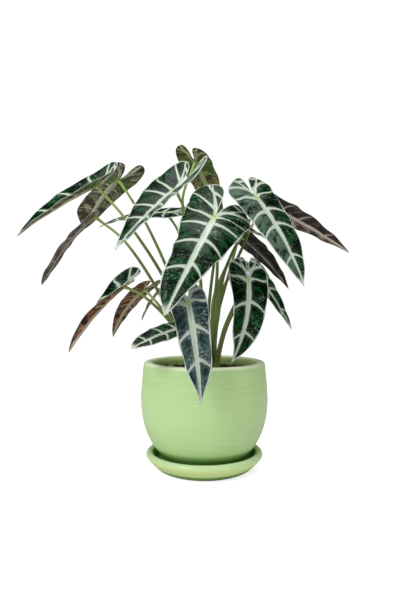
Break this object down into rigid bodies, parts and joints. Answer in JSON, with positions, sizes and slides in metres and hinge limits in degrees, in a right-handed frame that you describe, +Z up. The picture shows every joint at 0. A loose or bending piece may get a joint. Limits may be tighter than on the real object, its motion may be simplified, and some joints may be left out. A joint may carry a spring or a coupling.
{
  "type": "potted alocasia",
  "caption": "Arrow-leaved alocasia with dark, pale-veined leaves on long stalks, growing in a round glazed ceramic pot that stands on its matching saucer",
  "frame": {"origin": "the centre of the saucer's flat base, on the pot's axis, where the plant rests on a table", "axes": "+Z is up along the pot's axis, the plant's best side faces -Y, and +X is to the right seen from that side"},
  "size_m": [0.4154, 0.2609, 0.4172],
  "materials": {
    "glaze": "satin",
    "mix": "matte",
    "crown": "matte",
    "blade": "gloss",
    "stalk": "satin"
  },
  "bodies": {
    "root": {"saucer": "glaze", "pot": "glaze", "potting_mix": "mix", "crown": "crown", "leaf_far_left_high": "blade", "leaf_left_back_high": "blade", "leaf_left_narrow": "blade", "leaf_upper_left": "blade", "leaf_top_back": "blade", "leaf_centre_front": "blade", "leaf_left_level": "blade", "leaf_right_high": "blade", "leaf_right_back_high": "blade", "leaf_right_dark": "blade", "leaf_right_small": "blade", "leaf_right_low": "blade", "leaf_right_low_back": "blade", "leaf_front_low": "blade", "leaf_left_low": "blade", "leaf_left_low_back": "blade", "leaf_left_sliver": "blade", "leaf_left_bottom": "blade", "stalk_far_left_high": "stalk", "stalk_left_back_high": "stalk", "stalk_left_narrow": "stalk", "stalk_upper_left": "stalk", "stalk_top_back": "stalk", "stalk_centre_front": "stalk", "stalk_left_level": "stalk", "stalk_right_high": "stalk", "stalk_right_back_high": "stalk", "stalk_right_dark": "stalk", "stalk_right_small": "stalk", "stalk_right_low": "stalk", "stalk_right_low_back": "stalk", "stalk_front_low": "stalk", "stalk_left_low": "stalk", "stalk_left_low_back": "stalk", "stalk_left_sliver": "stalk", "stalk_left_bottom": "stalk"}
  },
  "joints": []
}
